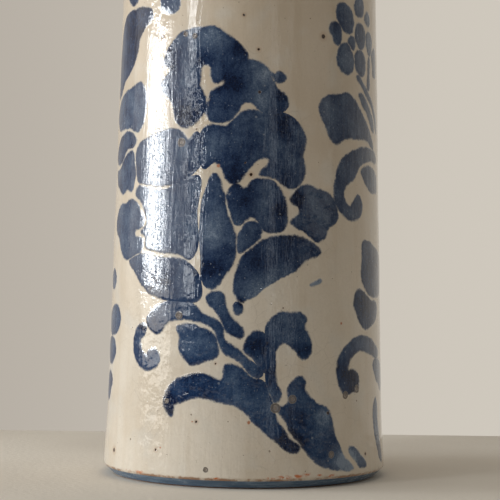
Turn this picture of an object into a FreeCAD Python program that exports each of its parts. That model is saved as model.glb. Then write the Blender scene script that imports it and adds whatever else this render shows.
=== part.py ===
"""Talavera vase: a thrown clay body, its tin-glaze coats and its raised cobalt brushwork.

Millimetres, +Z up. The origin is the centre of the circle that the foot stands on, and -Y is the front.
"""

import FreeCAD
import Part
import math
import os

# --- Driving dimensions of the pot ----------------------------------------------------------------

FOOT_RADIUS = 63.2        # outer edge of the ring that the vase stands on
FOOT_WIDTH = 9.0          # width of that ring
FOOT_RECESS = 3.0         # how far the underside is hollowed
FOOT_ROUND = 1.5          # turn from the standing ring into the bevel
BEVEL_ANGLE = 43.0        # degrees above the table
BEVEL_LENGTH = 6.0
BEVEL_ROUND = 2.0         # turn from the bevel into the wall
FLARE_RADIUS = 800.0      # the wall's slight curve outwards at its bottom
FLARE_ANGLE = 2.8
WALL_LEAN = 1.46          # degrees inwards from upright
WALL_LENGTH = 258.0
SHOULDER_ROUND = 16.0
SHOULDER_ANGLE = 55.0
NECK_ROUND = 8.6
NECK_TILT = 30.0          # the neck's top leans outwards by this angle
NECK_FLARE = 3.4          # straight stretch below the lip

WALL_THICKNESS = 6.5
FLOOR_THICKNESS = 8.0
FLOOR_ROUND = 11.0        # inside corner between floor and wall

OUTER_GLAZE = 0.6         # also the thickness of the base band and the lip band
INNER_GLAZE = 0.4
BARE_CLAY = 1.0           # left between the foot's turn and the base band
LIP_BAND_DROP = 2.4       # how far the lip's blue runs down the neck
PAINT_RELIEF = 0.25       # how far fired cobalt stands proud of the white glaze
SHOULDER_LINES = ((4.0, 2.6), (9.0, 1.0))   # (drop below the shoulder, width) of each ring

# --- Brushwork ------------------------------------------------------------------------------------
# Drawn flat in millimetres on a sheet that is then wrapped round the wall: s runs to the right from
# the front, z up from the table. Each motif is (name, middle s, outlines, ribbons). An outline is
# the closed edge of a stroke; a ribbon is a stroke's middle line as (s, z, half width).

SHEET_RADIUS = 66.0       # the sheet goes once round a wall of this radius
SHEET_BOTTOM = 6.1        # the sheet's z at the turn above the bevel
SHEET_TOP = 303.1         # the sheet's z where the wall meets the shoulder
SPRAY_SIDES = ("front", "back")
SPRIG_COUNT = 6
EDGE_STEP = 2             # drawn points per edge

SPRAY = [
    ("bloom_crown", -13, [
        # fan petal and the left lobe below it
        [(-44.5, 200), (-40, 208), (-33, 213.5), (-24, 215), (-18, 215.5), (-11, 212), (-5, 207.5),
         (-1.2, 201), (-5, 198.8), (-9, 195), (-12, 191.5), (-16, 189.5), (-18.3, 193), (-18.5, 197),
         (-22, 197.8), (-23.8, 193), (-24, 188), (-21.5, 183), (-21.5, 177), (-25, 172), (-32, 168.8),
         (-36.5, 172), (-38.5, 180), (-46, 189), (-42, 193.5), (-40.5, 196.5)],
        # diagonal petal and right-hand petal
        [(-1, 199.5), (6, 198.5), (10.5, 194), (12, 189), (14.5, 186), (18, 184), (19, 179.5),
         (16, 176.8), (12, 176.5), (8.5, 175.8), (5, 178), (1, 180.4), (-2.5, 180), (-4.5, 177),
         (-8, 172.5), (-12, 171.2), (-17.5, 171.6), (-19.8, 174.5), (-18.7, 180.5), (-18, 185),
         (-12, 188), (-9.5, 194), (-6, 198.3)],
        [(13.2, 192.2), (15.8, 194.3), (18.2, 192.3), (15.8, 190.3)],
    ], [
        [(11, 193.2, 0.7), (13, 192.8, 0.6), (14.5, 192.5, 0.8)],
    ]),
    ("bloom_heart", 2, [
        # big middle petal with its right-hand lobe
        [(-21, 167.5), (-17.5, 169.4), (-10, 169), (-5, 173.5), (2, 176.5), (7, 174.6), (13, 175),
         (19, 174), (25, 170), (28.5, 163), (26.8, 155), (28, 151), (26, 143.5), (22, 140.3),
         (18, 141.5), (13, 145.5), (6, 146.5), (9.5, 150.5), (10.8, 154), (8, 154.6), (2.5, 151.5),
         (-2, 145.5), (-5, 142.6), (-9.5, 144), (-11.8, 149), (-16.5, 152.8), (-20.5, 150), (-22, 158)],
        # lower pair of petals
        [(-4, 141.5), (0, 140.5), (3, 143.5), (7, 144.5), (14, 141.5), (18, 135), (19, 127),
         (17, 121), (12, 119.8), (8.5, 120.5), (6, 124), (1.8, 127), (-1, 125.3), (-4.5, 123.2),
         (-8, 130), (-9.5, 135.5), (-7, 140.6)],
        # oval under them
        [(-4, 112), (-4, 116), (-2.5, 120), (0, 123.3), (3, 124.3), (5.5, 123.5), (7, 121),
         (6.4, 118), (4, 115.2), (1, 112.6), (-1.5, 111.2), (-3.5, 110.8)],
    ], []),
    ("bloom_face", -43, [
        [(-23.4, 151), (-23.6, 160), (-25, 165.5), (-29, 162.5), (-33, 166), (-38, 167.6),
         (-47, 166), (-57, 163), (-62.5, 159.5), (-63.4, 153.5), (-62, 148), (-60.5, 144),
         (-54, 142.5), (-46, 141.2), (-38, 142.6), (-30, 145.4)],
        [(-25, 145), (-32, 142.8), (-40, 139.5), (-48, 138.7), (-56, 140.3), (-61, 140.3),
         (-62.8, 137.6), (-59, 134.8), (-55.5, 130.5), (-53.5, 126.5), (-53.5, 122), (-57, 119.2),
         (-54, 117.3), (-53.5, 112.5), (-49, 111), (-37, 109.8), (-31, 108.8), (-27.5, 107.4),
         (-25, 110), (-24, 120), (-24, 135)],
    ], []),
    ("bloom_petals", -76, [
        [(-92, 177), (-86, 183), (-79, 186.5), (-68, 189), (-62, 190.7), (-57.5, 187), (-56.7, 181),
         (-58.5, 172), (-62, 167.8), (-70, 169.5), (-80, 169.2), (-88, 170)],
        [(-92, 157), (-86, 163), (-80, 166.3), (-73, 167.3), (-66, 165.5), (-64, 163), (-67, 160.5),
         (-72, 159.5), (-76, 157), (-80, 153.8), (-88, 152.6)],
        [(-88, 149), (-80, 151.5), (-76, 155), (-70, 158), (-66.5, 157.5), (-65.3, 153),
         (-64.3, 148), (-65.5, 142), (-67, 138.8), (-72, 140), (-76, 138), (-82, 140), (-88, 144)],
        [(-71, 133), (-66, 134.5), (-61.5, 133), (-58, 128.5), (-55.5, 125), (-57, 122), (-62, 120),
         (-62.5, 117.5), (-56.5, 115.5), (-56, 112.5), (-62, 108.5), (-69, 106.5), (-75, 108.5),
         (-80, 116), (-86, 121), (-84, 128), (-77, 132.5)],
    ], []),
    ("bloom_tongue", -13, [
        [(-15, 146.3), (-13, 144), (-12, 140), (-10.5, 135), (-9.8, 130), (-7.5, 124), (-5.5, 118),
         (-5.2, 112), (-6, 107), (-8, 102), (-12, 97), (-14, 94), (-16, 93.5), (-19, 95.5),
         (-20.5, 105), (-21.5, 115), (-21.5, 125), (-20.5, 135), (-18.5, 141), (-17, 145)],
    ], []),
    ("east_leaf", 15, [
        [(-4, 103), (-2, 107), (1, 110.6), (5, 114), (9, 116.4), (14, 117.8), (19, 118.2),
         (24, 118), (28, 116.7), (32, 114.7), (36.8, 111), (28, 105.5), (24, 102), (16, 96),
         (8, 89.5), (0, 87), (-3, 88), (-5.2, 91.5), (-5.2, 98)],
        [(-5.2, 84.6), (-3.3, 86.4), (-1.4, 84.4), (-3.3, 81.8)],
    ], []),
    ("rosette", 34, [
        [(21, 135.5), (22.4, 138), (27, 141.2), (30, 141.8), (35.5, 139.8), (39, 139), (42, 137.5),
         (46, 132), (46.8, 127.5), (45, 125), (40.5, 121.5), (40, 119), (38, 117), (35, 115.8),
         (32.5, 117.2), (29, 120), (23, 122.8), (21.2, 124.2), (25.5, 129), (24.8, 132), (21.6, 133.6)],
        [(31.2, 95.2), (34, 96.8), (37, 97.4), (34.4, 95.4)],
    ], []),
    ("sepal_and_stem", -34, [
        # bowl that holds the bloom
        [(-66, 105.6), (-62, 107), (-57, 108.2), (-45, 107), (-34, 106.6), (-30, 105.6), (-26, 102.5),
         (-23, 99), (-21.5, 93), (-22, 88.8), (-26, 87.2), (-34, 87.6), (-44, 88.8), (-52, 92),
         (-60, 99), (-64.5, 103)],
        # arched stem
        [(-50, 79), (-46, 83), (-38, 86), (-30, 86), (-25, 85), (-20, 81.5), (-15, 79), (-10.6, 75.5),
         (-10, 70), (-5, 66.3), (0, 62), (5, 57), (7.4, 53.8), (6, 52.8), (0, 57.4), (-6, 61.5),
         (-11, 65.5), (-14, 73.6), (-22, 77.8), (-28, 79), (-34, 78.5), (-38, 77), (-44, 71.8),
         (-49, 74.5)],
    ], []),
    ("stem_lobes", -5, [
        [(-17.6, 86.8), (-17.8, 89), (-16, 91), (-11.5, 91.3), (-9.5, 86), (-8, 82), (-5.5, 78.5),
         (-1, 73), (-1.5, 71), (-4, 71), (-8, 73), (-10, 76.3), (-11.5, 79.3), (-13.5, 82.8)],
        [(-0.6, 64.8), (0.2, 68), (2, 71.5), (5, 73.4), (8.4, 71.5), (9.3, 66), (9.3, 59), (9.2, 55.2),
         (7.2, 57.4), (2.6, 62.2)],
    ], []),
    ("stem_scrolls", -18, [
        # hooked scroll to the right of the stem
        [(10, 74), (10.5, 77), (13, 80.5), (16, 82.7), (22, 82), (25, 82.3), (28.8, 79), (28.3, 76.5),
         (30, 72), (31.5, 68), (31.3, 64), (27.5, 60.8), (24.5, 64), (22.5, 66), (18, 68.7),
         (14.5, 66), (13.7, 57), (15, 48), (16.3, 43.5), (14.5, 40.8), (12, 44), (10.8, 49),
         (10.4, 54), (10.7, 60), (10.5, 66)],
    ], [
        [(-54, 73, 2.4), (-57.4, 69, 2.3), (-57.6, 64, 2.4), (-54.8, 59, 2.8), (-50, 57.2, 3.0),
         (-46.2, 60.4, 3.6)],
    ]),
    ("fan_leaf", -22, [
        [(-32, 75), (-28, 76.2), (-23, 75.2), (-18, 73.8), (-15, 72), (-12.9, 68), (-12.8, 62.5),
         (-17, 59.8), (-20, 59), (-25, 57.5), (-29, 61), (-31.5, 66), (-30.8, 69), (-31.8, 72.5)],
    ], []),
    ("ground_leaves", 4, [
        # big leaf to the left
        [(-35.5, 33.5), (-38.8, 38), (-38, 44), (-33, 49.5), (-23, 52.8), (-16, 52.3), (-10.5, 50.8),
         (-9.5, 54), (-9.3, 57), (-6, 58.1), (-3, 56.8), (3, 51.8), (8, 49.6), (10, 47), (12, 41.5),
         (13.3, 36), (15, 31.4), (18, 27), (22, 22.4), (25.3, 19.8), (24.8, 18.2), (22.5, 17.2),
         (17, 20.5), (13, 23.5), (5, 31), (-1, 37), (-5, 39.3), (-13, 41), (-24, 42.3), (-30, 40),
         (-33.5, 38)],
        # small leaf to the right
        [(15.5, 38.6), (20.3, 40.5), (20.3, 46), (22.5, 50), (26, 52), (28.3, 50), (28, 47.5),
         (32, 41.5), (34.5, 39.2), (38, 38.3), (42.5, 32), (44, 25), (46, 20.5), (52, 11.5),
         (56, 8.2), (46, 8.4), (37, 10.5), (32, 14), (28.4, 18), (25, 22.2), (21, 27.4), (17.8, 33.5)],
    ], [
        [(55, 17, 1.4), (60, 12.5, 2.0), (64.5, 9.2, 1.5)],
    ]),
    ("berry_sprig", 64, [
        [(47.5, 224), (50, 229), (54, 228.5), (58.5, 225), (60, 220), (58, 216), (54.5, 215.5),
         (50.5, 218.5)],
        [(42.5, 216), (44.5, 219.5), (48, 219), (49.8, 216.5), (50.2, 213), (48, 209.7),
         (45.5, 210.5), (44.2, 213.5)],
        [(47.3, 203.5), (49, 207.5), (52, 210), (55, 209.6), (58.3, 206), (59.6, 202.5), (59, 198.5),
         (56, 196), (53, 196), (49, 198.5)],
        [(61.3, 204), (62.8, 207), (66, 207.6), (70, 205.5), (71.5, 201), (70, 197), (67, 195.8),
         (63, 197.5), (61.3, 201)],
        [(55.8, 212.4), (58, 213.8), (60.6, 212.4), (61, 209.5), (59.4, 208), (56.8, 209.8)],
        [(61.6, 217), (64, 220.6), (68, 220.2), (71, 217), (71, 212), (69, 209.3), (65, 209.2),
         (62, 212.3)],
        [(61.3, 228.5), (63.5, 232.6), (67.5, 233), (70.2, 229.5), (68.5, 225), (63.6, 224.6)],
        [(72, 225.6), (75, 227), (78, 223.5), (76.6, 220.6), (73, 221.4)],
        [(73, 214), (76, 217.6), (80.6, 215), (80.6, 210), (77, 206.6), (74, 209)],
        [(81.4, 203), (83.4, 209.4), (87, 210), (89, 203), (87, 196.4), (83.4, 197)],
    ], [
        [(63.5, 195, 0.8), (67, 192.4, 1.0), (71, 189, 1.1), (76, 185.6, 1.2), (84, 178, 1.1), (88, 170, 0.8)],
        [(76.5, 205, 0.7), (75.8, 197, 0.9), (75.4, 190.4, 1.0)],
    ]),
    ("heart_leaf", 58, [
        [(36.3, 177.5), (37, 181), (40, 184), (45, 185), (50, 185.5), (54, 186.5), (58, 185),
         (62, 182.3), (68, 176.6), (76, 169), (81, 161), (75, 163.6), (69, 165.3), (56, 165.3),
         (52, 165), (46, 162.5), (43, 164.5), (39.5, 171), (37.5, 174)],
    ], [
        [(65.6, 186.2, 1.1), (70, 183, 2.1), (76, 177.5, 2.0), (82, 170.5, 1.2)],
    ]),
    ("hook_scroll", 70, [
        [(66, 150), (71, 152), (77, 151.6), (84, 149.5), (89, 145), (88, 141), (82, 140), (76, 140.5),
         (71, 143.6), (67, 147.4)],
    ], [
        [(86, 156, 1.6), (80, 157.6, 2.4), (72, 158, 3.0), (62, 155.5, 4.2), (54, 150, 6.0),
         (49, 143, 3.5), (48, 137, 2.8), (51, 132, 2.8), (56, 129.5, 3.0), (60.5, 130.8, 4.2),
         (62, 134, 4.0)],
    ]),
    ("side_leaves", 80, [
        [(67.5, 115.6), (73, 115.6), (82, 112.5), (92, 109), (97, 104), (96, 95), (91, 90.5),
         (82, 89.4), (74, 90), (67.5, 94.6), (64.8, 101), (66.2, 108)],
        [(58.5, 87.6), (62.5, 92.6), (68, 90.6), (72, 88.2), (78, 86.7), (84, 84.6), (84, 81),
         (76, 76), (69, 74.2), (63, 77.6), (60, 82.6)],
    ], []),
    ("foot_scroll", 70, [
        [(46, 53), (46.5, 58), (54, 67), (60, 69.8), (67, 70), (74, 68.5), (80, 65.6), (86, 60.8),
         (83, 59.2), (78, 60.5), (70, 62.5), (62, 64), (57, 62), (54, 58.5), (53.5, 55), (58, 54.3),
         (61.5, 49), (60.5, 45.6), (56, 44.4), (51, 43.8), (47.3, 48.6)],
        [(77, 55.8), (80, 51), (86, 46.3), (94, 43), (96.5, 48), (94, 54), (87, 57.6), (80, 58.4)],
    ], [
        [(80, 37, 2.4), (79.5, 30, 3.0), (81, 23, 3.0), (83.5, 16, 2.6), (87, 10, 1.6)],
    ]),
    ("west_leaf", -72, [
        [(-53.5, 222.5), (-55, 225.4), (-60, 226.8), (-72, 226), (-80, 224.6), (-86, 220), (-91, 208),
         (-92, 194), (-90, 185), (-84, 189), (-78, 193.8), (-72, 197.5), (-68, 202), (-65, 208),
         (-63.5, 213), (-60, 217), (-56, 219.8)],
        [(-47.5, 229), (-46.5, 225.4), (-43, 223.3), (-38, 223.8), (-36, 227.6), (-38, 232), (-43, 234)],
        [(-78, 233), (-74, 229.8), (-68, 230.4), (-66, 235), (-70, 240), (-76, 239)],
    ], []),
    ("edge_leaves", -87, [
        [(-93, 79), (-86, 82.6), (-79, 83), (-75, 79), (-77, 72), (-83, 69.6), (-92, 71)],
        [(-95, 65), (-88, 67.6), (-83, 66.6), (-80, 62), (-82, 57.5), (-89, 55), (-94, 58)],
        [(-92, 98), (-86, 100), (-83, 96), (-86, 92), (-91, 92.5)],
        [(-94, 47), (-88, 50.6), (-84, 47), (-86, 42), (-91, 37), (-95, 40)],
    ], []),
]

# One sprig of the band that runs round the wall above the sprays.
SPRIG = (
    [
        [(-19, 262), (-14, 270), (-5, 272), (4, 268), (9, 260), (5, 253), (-3, 254), (-8, 259), (-14, 258)],
        [(-2, 277), (2, 285), (9, 288.5), (14, 284), (12, 277), (5, 273.5)],
        [(-15, 280), (-13, 284), (-8, 285), (-7, 280), (-11, 277.5)],
    ],
    [
        [(13, 262, 1.2), (20, 268, 2.2), (24, 276, 2.6), (21, 283, 1.8)],
    ],
)
SPRIG_MIDDLE = 2.0

AXIS = FreeCAD.Vector(0, 0, 1)
ORIGIN = FreeCAD.Vector(0, 0, 0)


# --- Paths in the radius-height plane ---------------------------------------------------------------

def heading(degrees):
    """Unit vector (radius, height) for a direction given in degrees above the outward radius."""
    return math.cos(math.radians(degrees)), math.sin(math.radians(degrees))


def moved(point, direction, distance):
    step = heading(direction)
    return point[0] + distance * step[0], point[1] + distance * step[1]


def section_point(point):
    return FreeCAD.Vector(point[0], 0, point[1])


def join(start, end):
    return Part.LineSegment(section_point(start), section_point(end)).toShape()


def trace(start, direction, moves, offset=0.0):
    """Edges of a smooth path, shifted by offset to the right of its travel.

    A move is ("line", length) or ("arc", radius, angle), where a positive angle turns left.
    Returns the edges, the last point and the last direction.
    """
    here = moved(start, direction - 90, offset)
    edges = []
    for move in moves:
        if move[0] == "line":
            there = moved(here, direction, move[1])
            edges.append(join(here, there))
        else:
            _, radius, angle = move
            side = 1 if angle > 0 else -1
            swing = radius + side * offset
            centre = moved(here, direction + 90 * side, swing)
            middle = moved(centre, direction + angle / 2 - 90 * side, swing)
            direction += angle
            there = moved(centre, direction - 90 * side, swing)
            arc = Part.Arc(section_point(here), section_point(middle), section_point(there))
            edges.append(arc.toShape())
        here = there
    return edges, here, direction


def turned(edges):
    """Solid of revolution about the vase's axis, from the edges of one closed section."""
    wire = Part.Wire(Part.__sortEdges__(edges))
    solid = Part.Face(wire).revolve(ORIGIN, AXIS, 360)
    solid.rotate(ORIGIN, AXIS, 90)
    return solid


def coat(start, direction, moves, near, far):
    """Ring of even thickness between two offsets of a path."""
    near_edges, near_end, _ = trace(start, direction, moves, near)
    far_edges, far_end, _ = trace(start, direction, moves, far)
    near_start = moved(start, direction - 90, near)
    far_start = moved(start, direction - 90, far)
    return turned(near_edges + far_edges + [join(near_start, far_start), join(near_end, far_end)])


# --- The outer path, from the standing ring up to the inside of the lip ------------------------------

WALL_HEADING = 90 + WALL_LEAN
FOOT_TURN = ("arc", FOOT_ROUND, BEVEL_ANGLE)
BEVEL = ("line", BEVEL_LENGTH)
BEVEL_TURN = ("arc", BEVEL_ROUND, WALL_HEADING + FLARE_ANGLE - BEVEL_ANGLE)
FLARE = ("arc", FLARE_RADIUS, -FLARE_ANGLE)
WALL = ("line", WALL_LENGTH)
SHOULDER = ("arc", SHOULDER_ROUND, SHOULDER_ANGLE)
NECK = ("arc", NECK_ROUND, -(WALL_HEADING + SHOULDER_ANGLE - 90 + NECK_TILT))

_, BEVEL_START, _ = trace((FOOT_RADIUS, 0), 0, [FOOT_TURN])
_, TURN_START, _ = trace(BEVEL_START, BEVEL_ANGLE, [BEVEL])
_, FLARE_START, FLARE_HEADING = trace(TURN_START, BEVEL_ANGLE, [BEVEL_TURN])
_, WALL_START, _ = trace(FLARE_START, FLARE_HEADING, [FLARE])
_, WALL_END, _ = trace(WALL_START, WALL_HEADING, [WALL])
_, NECK_END, NECK_HEADING = trace(WALL_END, WALL_HEADING, [SHOULDER, NECK])
_, FLARE_TOP, _ = trace(NECK_END, NECK_HEADING, [("line", NECK_FLARE)])

# The inner path runs one wall thickness inside the outer one and turns upright in the throat.
INNER_SHOULDER = ("arc", SHOULDER_ROUND - WALL_THICKNESS, SHOULDER_ANGLE)
INNER_NECK = ("arc", NECK_ROUND + WALL_THICKNESS, -(WALL_LEAN + SHOULDER_ANGLE))
INNER_WALL_END = moved(WALL_END, WALL_HEADING + 90, WALL_THICKNESS)
_, THROAT, _ = trace(INNER_WALL_END, WALL_HEADING, [INNER_SHOULDER, INNER_NECK])
LIP_ROUND = (FLARE_TOP[0] - THROAT[0]) / (1 + math.cos(math.radians(NECK_TILT)))
LIP = ("arc", LIP_ROUND, 270 - NECK_HEADING)
_, LIP_END, _ = trace(FLARE_TOP, NECK_HEADING, [LIP])


def inner_moves():
    """Moves from the middle of the floor, up the inside wall, to the lip."""
    rise = INNER_WALL_END[1] - FOOT_RECESS - FLOOR_THICKNESS
    reach = FLOOR_ROUND * math.tan(math.radians(WALL_HEADING / 2))
    floor = INNER_WALL_END[0] + rise * math.tan(math.radians(WALL_LEAN)) - reach
    wall = rise / math.cos(math.radians(WALL_LEAN)) - reach
    return [
        ("line", floor),
        ("arc", FLOOR_ROUND, WALL_HEADING),
        ("line", wall),
        INNER_SHOULDER,
        INNER_NECK,
        ("line", LIP_END[1] - THROAT[1]),
    ]


def make_clay_body():
    """Wall, floor, foot ring and rolled lip, thrown from one lump of clay."""
    floor_height = FOOT_RECESS + FLOOR_THICKNESS
    neck_flare = ("line", NECK_FLARE)
    outer_moves = [FOOT_TURN, BEVEL, BEVEL_TURN, FLARE, WALL, SHOULDER, NECK, neck_flare, LIP]
    outer, _, _ = trace((FOOT_RADIUS, 0), 0, outer_moves)
    inner, _, _ = trace((0, floor_height), 0, inner_moves())
    ring_edge = FOOT_RADIUS - FOOT_WIDTH
    underside = [
        join((FOOT_RADIUS, 0), (ring_edge, 0)),
        join((ring_edge, 0), (ring_edge - FOOT_RECESS, FOOT_RECESS)),
        join((ring_edge - FOOT_RECESS, FOOT_RECESS), (0, FOOT_RECESS)),
        join((0, FOOT_RECESS), (0, floor_height)),
    ]
    return turned(outer + inner + underside)


def make_outer_glaze():
    """White coat from the top of the bevel to just below the lip."""
    neck_part = ("line", NECK_FLARE - LIP_BAND_DROP)
    return coat(TURN_START, BEVEL_ANGLE, [BEVEL_TURN, FLARE, WALL, SHOULDER, NECK, neck_part], 0, OUTER_GLAZE)


def make_base_band():
    """Blue ring painted on the bevel, above a line of bare clay."""
    start = moved(BEVEL_START, BEVEL_ANGLE, BARE_CLAY)
    return coat(start, BEVEL_ANGLE, [("line", BEVEL_LENGTH - BARE_CLAY)], 0, OUTER_GLAZE)


def make_lip_band():
    """Blue ring over the rolled lip."""
    start = moved(FLARE_TOP, NECK_HEADING, -LIP_BAND_DROP)
    return coat(start, NECK_HEADING, [("line", LIP_BAND_DROP), LIP], 0, OUTER_GLAZE)


def make_inner_glaze():
    """White coat over the floor and the inside wall, up to the lip."""
    start = (0, FOOT_RECESS + FLOOR_THICKNESS)
    lower, lower_end, _ = trace(start, 0, inner_moves())
    upper, upper_end, _ = trace(start, 0, inner_moves(), -INNER_GLAZE)
    return turned(lower + upper + [join(start, (0, start[1] + INNER_GLAZE)), join(lower_end, upper_end)])


def make_shoulder_rings():
    """Two painted rings round the top of the wall."""
    rings = []
    for drop, width in SHOULDER_LINES:
        start = moved(WALL_END, WALL_HEADING, -drop - width)
        rings.append(coat(start, WALL_HEADING, [("line", width)], OUTER_GLAZE, OUTER_GLAZE + PAINT_RELIEF))
    return Part.makeCompound(rings)


# --- Brushwork on the wall --------------------------------------------------------------------------

def glaze_radius(height):
    """Radius of the white glaze's face on the wall at a height."""
    below = max(0.0, WALL_START[1] - height)
    straight = WALL_START[0] + OUTER_GLAZE - (height - WALL_START[1]) * math.tan(math.radians(WALL_LEAN))
    return straight + below ** 2 / (2 * FLARE_RADIUS)


def sheet_to_plane(point, middle):
    """Where a sheet point falls on the upright plane through the axis that faces the motif's middle."""
    stretch = (WALL_END[1] - FLARE_START[1]) / (SHEET_TOP - SHEET_BOTTOM)
    height = FLARE_START[1] + (point[1] - SHEET_BOTTOM) * stretch
    angle = (point[0] - middle) / SHEET_RADIUS
    return FreeCAD.Vector(glaze_radius(height) * math.sin(angle), 0, height)


def smooth_face(points):
    """Flat face inside a smooth closed curve, whose edge is divided at every other point."""
    curve = Part.BSplineCurve()
    curve.interpolate(Points=points, PeriodicFlag=True)
    knots = curve.getKnots()
    stops = knots[:-1:EDGE_STEP] + knots[-1:]
    return Part.Face(Part.Wire([curve.toShape(a, b) for a, b in zip(stops, stops[1:])]))


def ribbon_outline(path):
    """Closed outline round a stroke's middle line, rounded at both ends."""
    line = Part.BSplineCurve()
    line.interpolate(Points=[FreeCAD.Vector(s, 0, z) for s, z, _ in path])
    knots = [line.parameter(FreeCAD.Vector(s, 0, z)) for s, z, _ in path]
    left = []
    right = []
    for knot, (s, z, half) in zip(knots, path):
        along = FreeCAD.Vector(*line.tangent(knot)[0])
        along.normalize()
        left.append((s - along.z * half, z + along.x * half))
        right.append((s + along.z * half, z - along.x * half))
    ends = []
    for knot, (s, z, half), side in ((knots[0], path[0], -1), (knots[-1], path[-1], 1)):
        along = FreeCAD.Vector(*line.tangent(knot)[0])
        along.normalize()
        ends.append((s + side * along.x * half, z + side * along.z * half))
    return [ends[0]] + left + [ends[1]] + right[::-1]


def paint(shell, middle, outlines, ribbons):
    """Raised strokes: the drawing is pushed through the wall's outer skin and kept where it cuts it."""
    loops = outlines + [ribbon_outline(path) for path in ribbons]
    faces = [smooth_face([sheet_to_plane(point, middle) for point in loop]) for loop in loops]
    drawing = faces[0].fuse(faces[1:]).removeSplitter() if len(faces) > 1 else faces[0]
    near = FLARE_START[0] / 2
    drawing.translate(FreeCAD.Vector(0, -near, 0))
    columns = drawing.extrude(FreeCAD.Vector(0, -2 * near, 0))
    columns.rotate(ORIGIN, AXIS, math.degrees(middle / SHEET_RADIUS))
    return columns.common(shell)


def turned_copy(shape, degrees):
    copy = shape.copy()
    copy.rotate(ORIGIN, AXIS, degrees)
    return copy


def make_brushwork():
    """Every painted motif by name, front and back, plus the band of sprigs above."""
    shell = coat(FLARE_START, FLARE_HEADING, [FLARE, WALL], OUTER_GLAZE, OUTER_GLAZE + PAINT_RELIEF)
    nodes = {}
    for name, middle, outlines, ribbons in SPRAY:
        motif = paint(shell, middle, outlines, ribbons)
        for index, side in enumerate(SPRAY_SIDES):
            nodes[f"{side}_{name}"] = turned_copy(motif, 360 * index / len(SPRAY_SIDES))
    sprig = paint(shell, SPRIG_MIDDLE, *SPRIG)
    sprigs = [turned_copy(sprig, 360 * index / SPRIG_COUNT) for index in range(SPRIG_COUNT)]
    nodes["shoulder_sprigs"] = Part.makeCompound(sprigs)
    return nodes


def main():
    os.makedirs("parts", exist_ok=True)
    nodes = {
        "clay_body": make_clay_body(),
        "outer_glaze": make_outer_glaze(),
        "inner_glaze": make_inner_glaze(),
        "base_band": make_base_band(),
        "lip_band": make_lip_band(),
        "shoulder_rings": make_shoulder_rings(),
    }
    nodes.update(make_brushwork())
    for name, shape in nodes.items():
        shape.exportStep(f"parts/{name}.step")


if __name__ == "__main__":
    main()
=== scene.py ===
"""A tall talavera vase: white tin glaze over red clay, with raised cobalt brushwork.

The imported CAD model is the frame. The foot, lining, lip and painted rings keep their CAD solids
and get ceramic materials. The outer glaze is lathed again from its CAD section with the slight
waviness of a hand-thrown pot. Every brushwork motif is remeshed on that wavy surface, as a thin
pool of colour that rises from a soft edge.

Sheet coordinates are in millimetres: s runs round the wall from the front, t up along the
glaze's section from its lower edge. Other lengths are in metres.
"""

import math

import bmesh
import bpy
import numpy as np
from mathutils import Matrix, Vector, geometry, noise


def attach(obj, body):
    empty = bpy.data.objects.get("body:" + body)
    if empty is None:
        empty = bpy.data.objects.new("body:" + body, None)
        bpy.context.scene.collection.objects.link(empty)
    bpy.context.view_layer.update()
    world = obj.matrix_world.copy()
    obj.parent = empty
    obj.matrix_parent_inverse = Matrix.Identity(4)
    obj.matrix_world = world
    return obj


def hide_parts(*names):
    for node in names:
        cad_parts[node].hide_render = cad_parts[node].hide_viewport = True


MM = 0.001

# camera
CAMERA_DISTANCE = 0.950
CAMERA_HEIGHT = 0.116
CAMERA_LENS = 136.8
CAMERA_ROLL = 0.7
CAMERA_SHIFT = (0.007, -0.020)

# outer glaze
GLAZE_COLUMNS = 240
GLAZE_ROW = 1.9 * MM
GLAZE_CORNER = 30.0
RIPPLE_CELLS = (160, 224)
RIPPLE_FADE = 0.012
RIPPLE_WAVES = ((0.045, 0.20 * MM, 1.0), (0.014, 0.050 * MM, 1.6), (0.006, 0.012 * MM, 1.0))

# the panes of the window: azimuth and width in degrees, radiance
WINDOW_PANES = (
    (-97.0, 1.4, 14.0), (-92.4, 2.8, 36.0), (-86.4, 2.4, 58.0), (-81.0, 1.6, 56.0), (-76.2, 1.3, 48.0),
    (-71.2, 0.8, 28.0), (-66.6, 0.6, 14.0),
)
WINDOW_HEIGHTS = (0.112, 0.455)
WINDOW_DISTANCE = 1.6

# the other upright lights: name, azimuth, width in degrees, low, high, distance, radiance, colour
COLD, WARM = (0.93, 0.97, 1.0), (1.0, 0.95, 0.87)
UPRIGHT_LIGHTS = (
    ("sill", -80, 30, 0.0, 0.112, 1.6, 3.4, WARM),
    ("side_window", -50, 7.0, 0.455, 0.85, 1.6, 12.0, COLD),
    ("side_pane", -50, 8.0, 0.36, 0.455, 1.6, 5.0, COLD),
    ("side_sill", -48, 8.0, 0.10, 0.19, 1.6, 6.0, COLD),
    ("frame_gleam_left", -54.0, 0.8, 0.19, 0.36, 1.6, 16.0, COLD),
    ("frame_gleam_right", -41.5, 1.0, 0.19, 0.36, 1.6, 26.0, COLD),
    ("left_glow", -84, 70, 0.05, 2.2, 2.0, 1.0, WARM),
    ("far_window", 21, 5.0, 0.0, 1.2, 1.6, 0.8, COLD),
    ("far_door", 36, 2.6, 0.0, 1.2, 1.6, 0.8, COLD),
    ("right_glow", 62, 30, 0.20, 1.6, 2.2, 0.36, WARM),
)
CEILING_SPOT, CEILING_TARGET = (-0.45, -1.15, 1.55), (0, 0, 0.15)
CEILING_SIZE, CEILING_RADIANCE = (1.5, 1.4), 0.60

# the room's radiance: in front of the vase, behind it, and behind it at the left
ROOM_FRONT = (0.105, 0.096, 0.085, 1.0)
ROOM_BACK = (0.62, 0.575, 0.505, 1.0)
ROOM_BACK_LEFT = (0.34, 0.30, 0.26, 1.0)

# floor
FLOOR_WIDTH = 1.6
FLOOR_DEPTH = 1.5
FLOOR_BACK = 0.195
FLOOR_THICKNESS = 0.030
FLOOR_ROUND = 0.003

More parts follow.
